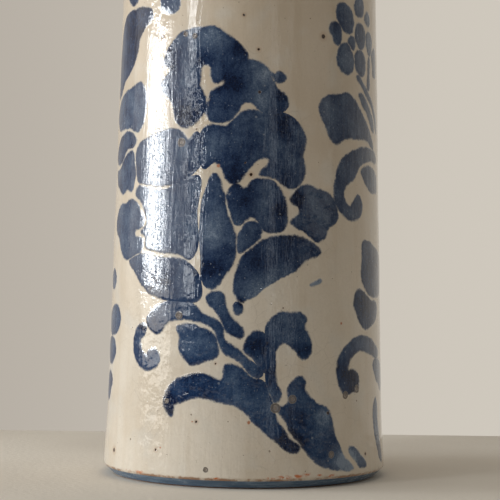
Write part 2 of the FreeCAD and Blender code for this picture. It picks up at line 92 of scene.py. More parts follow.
# brushwork
SHEET_RADIUS = 66.0
OUTLINE_STEP = 0.6
OUTLINE_CORNER = 38.0
SPREAD = 1.6
TRUE_EDGE = 1.25
RIM_STEP = 0.45
FILL_STEP = 0.9
PAINT_LIFT = 0.07 * MM
PAINT_SOFT = 3.2
PAINT_BURY = 0.02 * MM
PAINT_ROOT = 0.16 * MM
LOOP_GAP = 0.08
FILL_GAP = 0.22

# how dense the cobalt is where nothing changes it, and how much more at a stroke's rim
WASH_BASE = 0.53
RIM_POOL = 0.07

# how the density drifts: from stroke to stroke, in clouds and in blotches (sizes in mm)
STROKE_DRIFT = 0.07
CLOUD_SIZE, CLOUD_DEPTH = 9, 0.22
BLOTCH_SIZE, BLOTCH_DEPTH = (3.2, 4.5), 0.10

# relief under the gloss, metres deep
GLAZE_RELIEF = 0.00016
BAND_RELIEF = 0.00012
CLAY_RELIEF = 0.00025
FLOOR_RELIEF = 0.0002

# how dense the cobalt is round a few places: s, z, radius (mm), and how much denser (or thinner)
TONES = (
    (-38, 199, 6, 0.22), (-23, 201, 4, 0.25), (-21, 212, 8, -0.28), (-4, 203, 7, 0.22),
    (-6, 188, 6, 0.42), (-12, 180, 5, 0.12), (6, 195, 7, -0.30), (7, 181, 7, -0.28),
    (16, 183, 4, 0.25), (-30, 174, 9, 0.30), (-16, 163, 6, -0.14), (-2, 165, 7, 0.10),
    (9, 165, 6, -0.10), (17, 168, 5, 0.42), (23, 165, 3, -0.12), (12, 151, 5, -0.16),
    (18, 146, 5, 0.22), (-6, 148, 6, 0.36), (-2, 134, 7, 0.36), (9, 133, 6, -0.10),
    (16, 131, 4, 0.45), (24, 135.5, 3.2, 0.95), (35, 129, 7, -0.12), (2, 118, 4, 0.05),
    (-15, 130, 8, -0.14), (-16, 116, 7, -0.30), (-16, 103, 6, 0.34), (-9, 112, 4, 0.20),
    (4, 106, 9, 0.14), (20, 114, 9, 0.26), (16, 98, 8, -0.16), (6, 91, 8, -0.30),
    (-2, 87, 2.2, 0.55), (-42, 96, 8, 0.25), (-34, 84, 6, 0.02), (-53.5, 75.5, 2.6, 0.70),
    (-46, 74, 5, 0.18), (-25, 66, 7, -0.12), (-24, 55, 4, 0.20), (-13, 89, 4, -0.12),
    (20, 79, 7, -0.14), (28, 64, 4, 0.24), (12, 56, 7, 0.25), (4, 68, 5, 0.28),
    (-23, 48, 9, 0.22), (-37, 38, 6, 0.36), (-4, 51, 6, -0.14), (7, 40, 8, -0.10),
    (21, 21, 6, 0.70), (24, 34, 7, 0.24), (39, 33, 7, -0.24), (33, 18, 7, 0.04),
    (52, 11, 6, -0.75), (34, 96, 5, -0.65), (38, 195, 4, -0.10), (42, 176, 9, -0.10),
    (58, 51, 7, 0.55),
    (76, 104, 11, 0.24), (68, 86, 8, 0.24), (54, 86, 2, 0.20), (-66, 216, 14, 0.30),
)
TONE_STRENGTH = 1.25

# where neighbouring strokes run together (s, z, radius in mm, how far the colour spreads in mm),
# or where a wash thins out before its edge (a negative spread)
BLEEDS = (
    (10.5, 176, 4, 1.4), (16.5, 175.5, 4, 1.4), (21, 174, 4, 1.3), (-22.5, 164, 4, 1.2),
    (-22.5, 157, 5, 1.5),
    (-22.5, 150, 5, 1.5), (-34, 142, 4, 1.3), (-27, 143.5, 4, 1.3), (-22.5, 136, 4, 1.0),
    (-22.5, 127, 5, 1.3),
    (-22.5, 118, 5, 1.3), (-22.5, 109, 5, 1.3), (-23, 101, 4, 1.4), (-22, 94, 4, 1.2), (-35, 87, 4, 1.3),
    (-27.5, 86.5, 4, 1.3), (-50, 77, 2.5, 1.1), (6, 58, 3, 1.2), (8, 54, 3, 1.3), (9.5, 50, 3, 1.2),
    (7.5, 62, 3, 1.0), (10, 72, 3, 1.2), (10, 66, 3, 1.2), (10, 61, 3, 1.2), (-8.5, 194.5, 4, 1.3),
    (-64, 145, 4, 0.8), (-62, 112, 4, 1.0), (-3.5, 86, 3, 1.0), (47, 122, 3, 0.8),
    (18, 96, 7, -2.4), (10, 90, 6, -4.5), (2, 87, 4, -1.8), (31, 107, 5, -0.8), (34, 96, 5, -0.4),
)

# flaws fired into the front of the glaze: s, z, radius (mm)
SPECKS = (
    (-2.5, 221, 0.7), (38.5, 212.5, 1.3), (4.8, 205, 0.7), (5.5, 185, 0.9), (1.8, 146.5, 0.9),
    (-1, 152, 0.6), (-22, 31, 0.7), (-42.5, 16.7, 0.7), (-75, 13.5, 1.3), (-46, 212, 1.0),
    (40.5, 35, 1.0), (-13.5, 58.3, 0.5), (66, 14, 0.8), (84, 104, 1.1),
)
RUST_DOTS = ((-13.8, 150.5, 1.2), (2, 31.3, 1.1), (49, 77, 0.9), (-40, 18, 0.7), (-24, 31, 0.6))
BLISTERS = (
    (22, 42, 1.7), (14, 38, 2.0), (-32, 80.3, 1.6), (-33, 161.5, 1.8), (51.5, 43, 1.6),
    (60, 45.5, 1.7), (42, 15.5, 1.4), (-32, 212.5, 1.1), (-27, 211.5, 1.1), (-17, 9, 1.1),
    (-37.5, 40, 1.1),
)
RUST_STAINS = (
    (18, 5.8, 4.0), (24, 6.2, 4.0), (29, 6.8, 2.8), (35, 6.2, 2.4), (42, 5.6, 3.0), (12, 5.4, 2.6),
    (-12, 5.2, 2.2), (-52, 5.4, 3.2), (-60, 5.4, 3.0),
)
STAIN_SQUASH = 3.2


# ---------------------------------------------------------------- the glaze's section and surface

def section(node):
    """The closed outline (radius, height) of a ring-shaped CAD node, cut on the far side."""
    cut = bmesh.new()
    cut.from_mesh(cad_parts[node].data)
    bmesh.ops.remove_doubles(cut, verts=cut.verts, dist=1e-6)
    # keep the far half, then only what lies on the cutting plane
    for normal, both in (((0, -1, 0), False), ((1, -1e-4, 0), True)):
        everything = cut.verts[:] + cut.edges[:] + cut.faces[:]
        bmesh.ops.bisect_plane(cut, geom=everything, plane_co=(0, 0, 0), plane_no=normal,
                               clear_outer=True, clear_inner=both)
    bmesh.ops.remove_doubles(cut, verts=cut.verts, dist=2e-5)
    loop = [cut.verts[:][0]]
    edge = loop[0].link_edges[0]
    while len(loop) < len(cut.verts):
        loop.append(edge.other_vert(loop[-1]))
        edge = next(e for e in loop[-1].link_edges if e != edge)
    outline = np.array([(v.co.y, v.co.z) for v in loop])
    cut.free()
    return outline


def turns(points):
    """How far a closed outline turns at each of its points, in degrees."""
    after = np.roll(points, -1, axis=0) - points
    before = np.roll(after, 1, axis=0)
    cross = before[:, 0] * after[:, 1] - before[:, 1] * after[:, 0]
    return np.degrees(np.arctan2(cross, (before * after).sum(axis=1)))


def smoothed(points, step, corner):
    """A closed outline drawn smoothly through its points, one point a step, with its corners kept."""
    sharp = np.abs(turns(points)) > corner
    count = len(points)
    result = []
    for i in range(count):
        start, end = points[i], points[(i + 1) % count]
        length = np.linalg.norm(end - start)
        into = (end - points[i - 1]) / 2 if not sharp[i] else end - start
        out = (points[(i + 2) % count] - start) / 2 if not sharp[(i + 1) % count] else end - start
        into = into * min(1, length / max(np.linalg.norm(into), 1e-12))
        out = out * min(1, length / max(np.linalg.norm(out), 1e-12))
        for u in np.arange(max(1, round(length / step))) / max(1, round(length / step)):
            result.append(start * (1 + 2 * u) * (1 - u) ** 2 + into * u * (1 - u) ** 2
                          + end * u * u * (3 - 2 * u) - out * u * u * (1 - u))
    return np.array(result)


def outer_side(outline):
    """Which points of an anticlockwise outline face away from the axis."""
    along = np.roll(outline, -1, axis=0) - np.roll(outline, 1, axis=0)
    return along[:, 1] > 0.2 * np.linalg.norm(along, axis=1)


def anticlockwise(outline):
    """The outline, turned round if it runs clockwise."""
    after = np.roll(outline, -1, axis=0)
    area = (outline[:, 0] * after[:, 1] - after[:, 0] * outline[:, 1]).sum()
    return outline if area > 0 else outline[::-1]


class Surface:
    """The outside of the glaze: its section, its arc length, and the waves that throwing leaves."""

    def __init__(self, outline):
        side = outline[outer_side(outline)]
        side = side[np.argsort(side[:, 1])]
        self.radius, self.height = side[:, 0], side[:, 1]
        steps = np.linalg.norm(np.diff(side, axis=0), axis=1)
        self.arc = np.concatenate(([0], np.cumsum(steps))) / MM
        self.waves = self.make_waves()

    def make_waves(self):
        """Wave heights on a grid of angles and heights, faded out at the foot and the lip."""
        low, high = self.height[0], self.height[-1]
        heights = np.linspace(low, high, RIPPLE_CELLS[1] + 1)
        angles = np.arange(RIPPLE_CELLS[0]) * math.tau / RIPPLE_CELLS[0]
        grid = np.zeros((len(heights), len(angles)))
        for size, depth, flat in RIPPLE_WAVES:
            round_wall = SHEET_RADIUS * MM / size
            for i, z in enumerate(heights):
                ring = [Vector((math.sin(a) * round_wall, math.cos(a) * round_wall, z * flat / size))
                        for a in angles]
                grid[i] += [depth * noise.noise(spot) for spot in ring]
        fade = np.clip(np.minimum(heights - low, high - heights) / RIPPLE_FADE, 0, 1)
        return grid * (fade * fade * (3 - 2 * fade))[:, None]

    def wave(self, angle, z):
        """The waves' height at these angles and heights."""
        low, high = self.height[0], self.height[-1]
        row = np.clip((z - low) / (high - low), 0, 1) * RIPPLE_CELLS[1]
        i = np.minimum(row.astype(int), RIPPLE_CELLS[1] - 1)
        column = (angle / math.tau % 1) * RIPPLE_CELLS[0]
        j = column.astype(int) % RIPPLE_CELLS[0]
        k = (j + 1) % RIPPLE_CELLS[0]
        u, v = column - np.floor(column), row - i
        return ((self.waves[i, j] * (1 - u) + self.waves[i, k] * u) * (1 - v)
                + (self.waves[i + 1, j] * (1 - u) + self.waves[i + 1, k] * u) * v)

    def height_at(self, t):
        """Heights at these sheet coordinates t."""
        return np.interp(t, self.arc, self.height)

    def arc_at(self, z):
        """Sheet coordinate t at these heights."""
        return np.interp(z, self.height, self.arc)

    def normal(self, t):
        """The section's outward direction (radius, height) at these t."""
        radius = np.interp(t + 0.5, self.arc, self.radius) - np.interp(t - 0.5, self.arc, self.radius)
        rise = np.interp(t + 0.5, self.arc, self.height) - np.interp(t - 0.5, self.arc, self.height)
        length = np.hypot(radius, rise)
        return rise / length, -radius / length

    def points(self, angle, t, lift):
        """Points lift above the wavy surface."""
        z = np.interp(t, self.arc, self.height)
        across, up = self.normal(t)
        lift = lift + self.wave(angle, z)
        radius = np.interp(t, self.arc, self.radius) + lift * across
        return np.stack((radius * np.sin(angle), -radius * np.cos(angle), z + lift * up), axis=1)


def mesh_object(name, points, faces):
    """A smooth-shaded mesh object."""
    mesh = bpy.data.meshes.new(name)
    mesh.from_pydata([tuple(p) for p in points], [], faces)
    mesh.validate()
    mesh.shade_smooth()
    obj = bpy.data.objects.new(name, mesh)
    bpy.context.scene.collection.objects.link(obj)
    return obj


def make_glaze(outline, surface):
    """The outer glaze, turned round the axis from its section, with waves on its outer side."""
    outline = anticlockwise(smoothed(outline, GLAZE_ROW, GLAZE_CORNER))
    outside = outer_side(outline)
    rows = len(outline)
    angle = np.arange(GLAZE_COLUMNS) * math.tau / GLAZE_COLUMNS
    points = []
    for a in angle:
        lift = np.where(outside, surface.wave(np.full(rows, a), outline[:, 1]), 0)
        radius = outline[:, 0] + lift
        points.append(np.stack((radius * math.sin(a), -radius * math.cos(a), outline[:, 1]), axis=1))
    faces = []
    for i in range(GLAZE_COLUMNS):
        here, there = i * rows, (i + 1) % GLAZE_COLUMNS * rows
        for j in range(rows):
            k = (j + 1) % rows
            faces.append((here + j, there + j, there + k, here + k))
    glaze = mesh_object("outer_glaze_coat", np.concatenate(points), faces)
    keep_creases(glaze)
    return glaze


def keep_creases(obj):
    """Edges of more than the corner angle are shaded sharp."""
    obj.data.set_sharp_from_angle(angle=math.radians(GLAZE_CORNER))


# ---------------------------------------------------------------- brushwork

def outer_triangles(node, surface):
    """Welded points of a motif, and the triangles on its outer faces."""
    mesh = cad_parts[node].data
    points = np.empty(len(mesh.vertices) * 3)
    mesh.vertices.foreach_get("co", points)
    keys = np.round(points.reshape(-1, 3) * 1e6).astype(np.int64)
    keys, index = np.unique(keys, axis=0, return_inverse=True)
    points = keys * 1e-6
    mesh.calc_loop_triangles()
    triangles = np.empty(len(mesh.loop_triangles) * 3, int)
    mesh.loop_triangles.foreach_get("vertices", triangles)
    triangles = index.reshape(-1)[triangles].reshape(-1, 3)
    corner = points[triangles]
    normal = np.cross(corner[:, 1] - corner[:, 0], corner[:, 2] - corner[:, 0])
    size = np.linalg.norm(normal, axis=1)
    normal /= np.maximum(size, 1e-15)[:, None]
    middle = corner.mean(axis=1)
    radial = middle[:, :2] / np.linalg.norm(middle[:, :2], axis=1)[:, None]
    across, up = surface.normal(surface.arc_at(middle[:, 2]))
    facing = (normal[:, :2] * radial).sum(axis=1) * across + normal[:, 2] * up
    return points, triangles[(facing > 0.8) & (size > 1e-13)]


def boundary_loops(triangles):
    """The closed loops of points round a set of triangles."""
    sides = {(int(t[i]), int(t[(i + 1) % 3])) for t in triangles for i in range(3)}
    after = {}
    for a, b in sorted(sides):
        if (b, a) not in sides:
            after.setdefault(a, []).append(b)
    loops = []
    while after:
        start = min(after)
        loop, here = [start], after[start].pop(0)
        while here != start and after.get(here):
            loop.append(here)
            here = after[here].pop(0)
        after = {a: ends for a, ends in after.items() if ends}
        if here == start and len(loop) > 3:
            loops.append(loop)
    return loops


def thinned(points, gap):
    """The loop without points that lie closer than gap to the one before."""
    kept = [points[0]]
    for point in points[1:]:
        if np.linalg.norm(point - kept[-1]) >= gap:
            kept.append(point)
    if len(kept) > 3 and np.linalg.norm(kept[-1] - kept[0]) < gap:
        kept.pop()
    return np.array(kept)


def strokes(node, surface):
    """The outline of each stroke of a motif on the sheet, and the angle at the motif's middle."""
    points, triangles = outer_triangles(node, surface)
    middle = math.atan2(points[:, 0].sum(), -points[:, 1].sum())
    if node == "shoulder_sprigs":   # it goes right round, so it has no middle
        middle = 0.0
    result = []
    for loop in boundary_loops(triangles):
        xyz = points[loop]
        angle = np.arctan2(xyz[:, 0], -xyz[:, 1]) - middle
        centre = math.atan2(xyz[:, 0].sum(), -xyz[:, 1].sum()) - middle
        angle = centre + (angle - centre + math.pi) % math.tau - math.pi
        flat = np.stack((angle * SHEET_RADIUS, surface.arc_at(xyz[:, 2])), axis=1)
        flat = smoothed(thinned(flat, LOOP_GAP), OUTLINE_STEP, OUTLINE_CORNER)
        result.append(thinned(flat, OUTLINE_STEP / 3))
    return result, middle


def edge_distance(points, outline):
    """How far each point is from the outline."""
    start = outline
    along = np.roll(outline, -1, axis=0) - outline
    squared = np.maximum((along ** 2).sum(axis=1), 1e-12)
    best = np.full(len(points), np.inf)
    for i in range(0, len(points), 2000):
        offset = points[i:i + 2000, None] - start[None]
        share = np.clip((offset * along[None]).sum(axis=2) / squared, 0, 1)
        gap = np.linalg.norm(offset - share[..., None] * along[None], axis=2)
        best[i:i + 2000] = gap.min(axis=1)
    return best


def inside(points, outline):
    """Which points lie within the outline."""
    a, b = outline, np.roll(outline, -1, axis=0)
    result = np.zeros(len(points), bool)
    for (x0, y0), (x1, y1) in zip(a, b):
        if y0 != y1:
            crosses = (points[:, 1] >= min(y0, y1)) & (points[:, 1] < max(y0, y1))
            result ^= crosses & (points[:, 0] < x0 + (points[:, 1] - y0) * (x1 - x0) / (y1 - y0))
    return result


def offset(outline, distance):
    """The outline moved inwards by distance."""
    along = np.roll(outline, -1, axis=0) - np.roll(outline, 1, axis=0)
    along /= np.maximum(np.linalg.norm(along, axis=1), 1e-9)[:, None]
    return outline + distance * np.stack((-along[:, 1], along[:, 0]), axis=1)


def fill_points(outline):
    """Points within a stroke: a ring just inside its edge, then an even field."""
    ring = offset(outline, RIM_STEP)
    low, high = outline.min(axis=0), outline.max(axis=0)
    rows = np.arange(low[1], high[1], FILL_STEP * math.sqrt(0.75))
    field = [(x + FILL_STEP / 2 * (i % 2), y) for i, y in enumerate(rows)
             for x in np.arange(low[0], high[0], FILL_STEP)]
    kept = []
    for group, least in ((ring, 0.8 * RIM_STEP), (np.array(field).reshape(-1, 2), 0.75 * FILL_STEP)):
        if len(group):
            group = group[inside(group, outline)]
            kept.append(group[edge_distance(group, outline) >= least])
    return np.concatenate(kept)


def spaced(points, gap):
    """The points without those in a cell that another already holds."""
    held, kept = set(), []
    for point in points:
        cell = (round(point[0] / gap), round(point[1] / gap))
        if cell not in held:
            held.add(cell)
            kept.append(point)
    return np.array(kept)


def around_places(flat, places):
    """The sum at each point of the changes made round places (s, z, radius, change)."""
    total = np.zeros(len(flat))
    for s, z, radius, change in places:
        total += change * np.exp(-((flat[:, 0] - s) ** 2 + (flat[:, 1] - z) ** 2) / radius ** 2)
    return total


def density(flat, distance, side, index):
    """How dense the colour lies at each point of a stroke, from 0 to 1."""
    rim = RIM_POOL * np.exp(-((distance - TRUE_EDGE - 0.7) / 1.0) ** 2)
    value = WASH_BASE + rim + STROKE_DRIFT * math.sin(5.1 * index + 1.3)
    wide, tall = BLOTCH_SIZE
    cloud = np.array([
        noise.noise(Vector((x / CLOUD_SIZE, y / CLOUD_SIZE, side * 3.7))) * CLOUD_DEPTH
        + noise.noise(Vector((x / wide, y / tall, 7.1 + side))) * BLOTCH_DEPTH for x, y in flat])
    return np.clip(value + cloud + TONE_STRENGTH * around_places(flat, TONES), 0, 1)


def stroke_mesh(outline, surface, side, index):
    """One stroke on the sheet: its points, triangles, distance from the skirt's edge, the distance
    that the colour goes by, and its density."""
    outline = anticlockwise(outline)
    skirt = thinned(offset(outline, -SPREAD), OUTLINE_STEP / 3)
    fill = spaced(np.concatenate((outline, fill_points(outline))), FILL_GAP)
    ring = [(i, (i + 1) % len(skirt)) for i in range(len(skirt))]
    flat, _, faces, _, _, _ = geometry.delaunay_2d_cdt(
        [Vector(p) for p in np.concatenate((skirt, fill))], ring, [], 1, 1e-5)
    flat = np.array([tuple(p) for p in flat])
    distance = edge_distance(flat, outline)
    distance = np.maximum(SPREAD + np.where(inside(flat, outline), distance, -distance), 0)
    on_wall = np.stack((flat[:, 0], surface.height_at(flat[:, 1]) / MM), axis=1)
    reach = distance + around_places(on_wall, BLEEDS)
    return flat, [tuple(f) for f in faces], distance, reach, density(on_wall, distance, side, index)


def thickness(distance):
    """The height of the colour above the glaze, which rises from a buried edge."""
    rise = np.clip(distance / PAINT_SOFT, 0, 1)
    return PAINT_LIFT * rise * (2 - rise) - PAINT_BURY * np.clip(1 - distance / RIM_STEP, 0, 1)


def make_motif(node, surface):
    """All strokes of one motif, as thin closed pools on the glaze."""
    side = 1 if node.startswith("back_") else 0
    outlines, middle = strokes(node, surface)
    turned = (middle - side * math.pi + math.pi) % math.tau - math.pi
    points, faces, edge, wash = [], [], [], []
    count = 0
    for index, outline in enumerate(outlines):
        outline = outline + np.array((turned * SHEET_RADIUS, 0))
        flat, triangles, distance, reach, dense = stroke_mesh(outline, surface, side, index)
        angle = flat[:, 0] / SHEET_RADIUS + side * math.pi
        points.append(surface.points(angle, flat[:, 1], thickness(distance)))
        points.append(surface.points(angle, flat[:, 1], np.full(len(flat), -PAINT_ROOT)))
        size = len(flat)
        faces += [tuple(count + v for v in f) for f in triangles]
        faces += [tuple(count + size + v for v in reversed(f)) for f in triangles]
        faces += [(count + b, count + a, count + size + a, count + size + b)
                  for a, b in rim_sides(triangles)]
        edge += [reach, np.zeros(size)]
        wash += [dense, dense]
        count += 2 * size
    motif = mesh_object(node + "_glaze", np.concatenate(points), faces)
    keep_creases(motif)
    for name, values in (("edge", edge), ("wash", wash)):
        attribute = motif.data.attributes.new(name, "FLOAT", "POINT")
        attribute.data.foreach_set("value", np.concatenate(values).astype(np.float32))
    return motif


def rim_sides(triangles):
    """The sides of a stroke's triangles that have no neighbour."""
    sides = {(f[i], f[(i + 1) % 3]) for f in triangles for i in range(3)}
    return [(a, b) for a, b in sorted(sides) if (b, a) not in sides]


# ---------------------------------------------------------------- material nodes

def add(tree, kind, inputs=None, **settings):
    """A new node. Each of inputs is a value or the socket that feeds it."""
    made = tree.nodes.new("ShaderNode" + kind)
    for name, value in settings.items():
        setattr(made, name, value)
    for name, value in (inputs or {}).items():
        if isinstance(value, bpy.types.NodeSocket):
            tree.links.new(value, made.inputs[name])
        else:
            made.inputs[name].default_value = value
    return made


def calc(tree, operation, *values, clamp=False):
    """A Math node's result."""
    made = add(tree, "Math", dict(enumerate(values)), operation=operation, use_clamp=clamp)
    return made.outputs[0]


def ramp(tree, value, low, high, start=0.0, end=1.0):
    """value carried from low..high to start..end, smoothly and held at the ends."""
    return add(tree, "MapRange", {"Value": value, "From Min": low, "From Max": high, "To Min": start,
                                  "To Max": end}, interpolation_type="SMOOTHSTEP").outputs["Result"]


def mix(tree, factor, first, second):
    """Two colours mixed."""
    made = add(tree, "Mix", data_type="RGBA")
    for socket, value in ((made.inputs[0], factor), (made.inputs[6], first), (made.inputs[7], second)):
        if isinstance(value, bpy.types.NodeSocket):
            tree.links.new(value, socket)
        else:
            socket.default_value = value
    return made.outputs[2]


def colour(r, g, b):
    """An opaque colour."""
    return (r, g, b, 1.0)


def place(tree, scale=(1000.0, 1000.0, 1000.0), shift=(0.0, 0.0, 0.0)):
    """Object coordinates in millimetres, stretched and shifted."""
    where = add(tree, "TexCoord").outputs["Object"]
    return add(tree, "Mapping", {"Vector": where, "Scale": scale, "Location": shift}).outputs["Vector"]


def grain(tree, vector, size, detail=2.0, roughness=0.5):
    """Noise with blobs about size millimetres across, from 0 to 1."""
    return add(tree, "TexNoise", {"Vector": vector, "Scale": 1 / size, "Detail": detail,
                                  "Roughness": roughness}).outputs["Fac"]


def specks(tree, vector, cell, radius, share):
    """Round dots up to radius in a share of the cells: 1 within a dot, 0 outside."""
    cells = add(tree, "TexVoronoi", {"Vector": vector, "Scale": 1 / cell})
    chance = add(tree, "SeparateColor", {"Color": cells.outputs["Color"]})
    size = ramp(tree, chance.outputs[0], 1 - share, 1.0, 0.0, radius / cell)
    ratio = calc(tree, "DIVIDE", cells.outputs["Distance"], calc(tree, "MAXIMUM", size, 1e-4))
    return ramp(tree, ratio, 1.0, 0.6)


def spot_point(s, z):
    """A flaw's place on the glaze, in millimetres."""
    radius = float(np.interp(z * MM, glaze_surface.height, glaze_surface.radius)) / MM
    return (radius * math.sin(s / SHEET_RADIUS), -radius * math.cos(s / SHEET_RADIUS), z)


def nearest(tree, vector, spots, squash=1.0):
    """Distance to the nearest spot, over that spot's radius. Heights are stretched by squash."""
    ratio = 9.0
    for s, z, radius in spots:
        x, y, height = spot_point(s, z)
        centre = (x, y, height * squash)
        gap = add(tree, "VectorMath", {0: vector, 1: centre}, operation="DISTANCE")
        ratio = calc(tree, "MINIMUM", calc(tree, "DIVIDE", gap.outputs["Value"], radius), ratio)
    return ratio


def wobbled(tree, vector, size, amount):
    """The vector pushed about by noise."""
    push = add(tree, "TexNoise", {"Vector": vector, "Scale": 1 / size, "Detail": 2.0}).outputs["Color"]
    push = add(tree, "VectorMath", {0: push, 1: (0.5, 0.5, 0.5)}, operation="SUBTRACT").outputs[0]
    push = add(tree, "VectorMath", {0: push, "Scale": amount}, operation="SCALE").outputs[0]
    return add(tree, "VectorMath", {0: vector, 1: push}, operation="ADD").outputs[0]


def glaze_group():
    """The tin glaze's colour and relief, shared by the wall and the edges of the strokes."""
    tree = bpy.data.node_groups.new("tin_glaze", "ShaderNodeTree")
    tree.interface.new_socket("Color", in_out="OUTPUT", socket_type="NodeSocketColor")
    tree.interface.new_socket("Height", in_out="OUTPUT", socket_type="NodeSocketFloat")
    tree.interface.new_socket("Flaw", in_out="OUTPUT", socket_type="NodeSocketFloat")
    where = place(tree)
    tint = glaze_tint(tree, where)
    tint, flaw, pits = glaze_flaws(tree, where, tint)
    tint = glaze_rust(tree, where, tint)
    peel = calc(tree, "MULTIPLY", grain(tree, where, 6.0), 0.95)
    peel = calc(tree, "ADD", peel, calc(tree, "MULTIPLY", grain(tree, where, 1.8), 0.22))
    drag = grain(tree, place(tree, (1000.0, 1000.0, 110.0)), 2.2, 3.0, 0.6)
    drag = calc(tree, "MULTIPLY", drag, 0.80)
    pimples = calc(tree, "MULTIPLY", specks(tree, where, 2.0, 0.40, 0.40), 0.45)
    height = calc(tree, "ADD", calc(tree, "ADD", peel, drag), calc(tree, "ADD", pits, pimples))
    out = tree.nodes.new("NodeGroupOutput")
    for name, value in (("Color", tint), ("Height", height), ("Flaw", flaw)):
        tree.links.new(value, out.inputs[name])
    return tree


def glaze_tint(tree, where):
    """Cream white, clouded warmer and cooler, browner higher up, with faint upright bands."""
    cream, warm = colour(0.665, 0.605, 0.515), colour(0.575, 0.495, 0.39)
    cool = colour(0.60, 0.585, 0.54)
    tint = mix(tree, ramp(tree, grain(tree, where, 34.0, 3.0), 0.44, 0.72, 0.0, 0.75), cream, warm)
    bands = grain(tree, place(tree, (1000.0, 1000.0, 60.0), (40.0, 0.0, 0.0)), 9.0, 3.0)
    tint = mix(tree, ramp(tree, bands, 0.46, 0.70, 0.0, 0.50), tint, warm)
    height = add(tree, "SeparateXYZ", {"Vector": where}).outputs["Z"]
    tint = mix(tree, ramp(tree, height, 60.0, 190.0, 0.0, 0.60), tint, colour(0.51, 0.42, 0.315))
    tint = mix(tree, ramp(tree, grain(tree, where, 15.0, 2.0), 0.50, 0.75, 0.0, 0.40), tint, cool)
    mottle = ramp(tree, grain(tree, where, 1.1, 3.0, 0.6), 0.35, 0.75, 0.0, 0.14)
    return mix(tree, mottle, tint, colour(0.42, 0.36, 0.29))


def glaze_flaws(tree, where, tint):
    """Crazing, iron specks, pinholes and burst blisters, with painted shade in the pinholes and
    blisters. Returns the colour, mask and relief.
    """
    bent = wobbled(tree, where, 11.0, 4.0)
    crack = add(tree, "TexVoronoi", {"Vector": bent, "Scale": 1 / 8.0}, feature="DISTANCE_TO_EDGE")
    line = ramp(tree, crack.outputs["Distance"], 0.020, 0.006)
    patch = ramp(tree, grain(tree, where, 27.0, 2.0), 0.48, 0.66, 0.0, 0.19)
    tint = mix(tree, calc(tree, "MULTIPLY", line, patch), tint, colour(0.27, 0.23, 0.19))
    dots = calc(tree, "MAXIMUM", specks(tree, where, 6.0, 0.55, 0.55),
                specks(tree, where, 2.4, 0.26, 0.30))
    tint = mix(tree, calc(tree, "MULTIPLY", dots, 0.72), tint, colour(0.13, 0.075, 0.045))
    rough_place = wobbled(tree, where, 1.2, 0.55)
    stain = ramp(tree, nearest(tree, rough_place, RUST_DOTS), 1.0, 0.35, 0.0, 0.85)
    tint = mix(tree, stain, tint, colour(0.40, 0.13, 0.05))
    hole = nearest(tree, rough_place, SPECKS)
    tint = mix(tree, ramp(tree, hole, 2.6, 1.0, 0.0, 0.35), tint, colour(0.42, 0.27, 0.17))
    hole = ramp(tree, hole, 1.0, 0.6)
    # painted shade: each pinhole's hollow is coloured near black, as the shade inside a hole
    tint = mix(tree, hole, tint, colour(0.035, 0.018, 0.012))
    blister = nearest(tree, rough_place, BLISTERS)
    bowl = ramp(tree, blister, 0.75, 0.45)
    ring = calc(tree, "MULTIPLY", ramp(tree, blister, 1.30, 1.05),
                ramp(tree, blister, 0.50, 0.78))
    # painted shade: each burst blister's bowl and rim are coloured dark, as the shade in its crater
    tint = mix(tree, calc(tree, "MULTIPLY", bowl, 0.85), tint, colour(0.15, 0.115, 0.095))
    tint = mix(tree, calc(tree, "MULTIPLY", ring, 0.85), tint, colour(0.055, 0.042, 0.038))
    flaw = calc(tree, "MAXIMUM", calc(tree, "MAXIMUM", hole, stain), calc(tree, "MAXIMUM", bowl, ring))
    pits = calc(tree, "MAXIMUM", calc(tree, "MAXIMUM", dots, hole), bowl)
    pits = calc(tree, "MULTIPLY", pits, -1.3)
    return tint, flaw, calc(tree, "ADD", pits, calc(tree, "MULTIPLY", ring, 0.25))


def glaze_rust(tree, where, tint):
    """A thin brown line where the glaze ends at the foot, and orange iron stains above it."""
    height = add(tree, "SeparateXYZ", {"Vector": wobbled(tree, where, 3.0, 1.6)}).outputs["Z"]
    worn = ramp(tree, grain(tree, where, 8.0, 4.0, 0.7), 0.34, 0.56)
    line = calc(tree, "MULTIPLY", ramp(tree, height, 5.6, 4.7), worn)
    tint = mix(tree, calc(tree, "MULTIPLY", line, 0.85), tint, colour(0.26, 0.115, 0.045))
    flattened = wobbled(tree, place(tree, (1000.0, 1000.0, 1000.0 * STAIN_SQUASH)), 1.6, 4.5)
    patch = nearest(tree, flattened, RUST_STAINS, STAIN_SQUASH)
    grainy = ramp(tree, grain(tree, where, 2.2, 3.0, 0.6), 0.40, 0.56)
    patch = calc(tree, "MULTIPLY", ramp(tree, patch, 1.1, 0.2), grainy)
    return mix(tree, calc(tree, "MULTIPLY", patch, 0.95), tint, colour(0.50, 0.125, 0.022))


def new_material(name):
    """An empty node material, its tree and its Principled shader."""
    made = bpy.data.materials.new(name)
    made.use_nodes = True
    return made, made.node_tree, made.node_tree.nodes["Principled BSDF"]


def relief(tree, shader, height, distance):
    """Bumps the shader by height, distance metres deep."""
    bump = add(tree, "Bump", {"Height": height, "Distance": distance, "Strength": 1.0})
    tree.links.new(bump.outputs["Normal"], shader.inputs["Normal"])


def glaze_gloss(tree, shader, where):
    """A wet gloss that dulls a little in patches."""
    gloss = ramp(tree, grain(tree, where, 12.0, 4.0), 0.35, 0.75, 0.02, 0.07)
    tree.links.new(gloss, shader.inputs["Roughness"])
    shader.inputs["IOR"].default_value = 1.52


def white_material(group):
    """Tin glaze on the outside and the lining of the vase."""
    made, tree, shader = new_material("tin_glaze")
    base = tree.nodes.new("ShaderNodeGroup")
    base.node_tree = group
    tree.links.new(base.outputs["Color"], shader.inputs["Base Color"])
    glaze_gloss(tree, shader, place(tree))
    relief(tree, shader, base.outputs["Height"], GLAZE_RELIEF)
    return made


